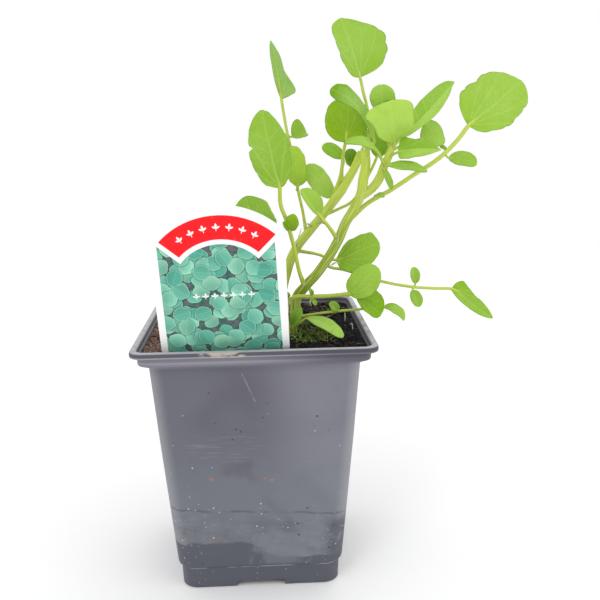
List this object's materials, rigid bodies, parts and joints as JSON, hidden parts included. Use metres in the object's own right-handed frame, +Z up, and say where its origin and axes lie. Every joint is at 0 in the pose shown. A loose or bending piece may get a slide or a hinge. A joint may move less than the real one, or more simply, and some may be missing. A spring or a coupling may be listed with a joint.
{
  "type": "potted watercress",
  "caption": "Leafy watercress growing in a square tapered nursery pot of compost, with an arched plant label standing in the compost and leaning over the pot's front rim.",
  "frame": {"origin": "middle of the pot's underside, on the surface that the pot stands on", "axes": "+Z up, +X to the right and -Y to the front, where the label faces"},
  "size_m": [0.1583, 0.0991, 0.2194],
  "materials": {
    "pot": "matte grey plastic, dusty",
    "compost": "moist peaty compost",
    "label": "printed glossy plastic",
    "leaves": "fresh yellow-green leaf"
  },
  "bodies": {
    "root": {"pot": "pot", "compost": "compost", "label": "label", "main_stem": "leaves", "second_stem": "leaves", "side_shoot": "leaves", "back_leaf": "leaves"}
  },
  "joints": []
}
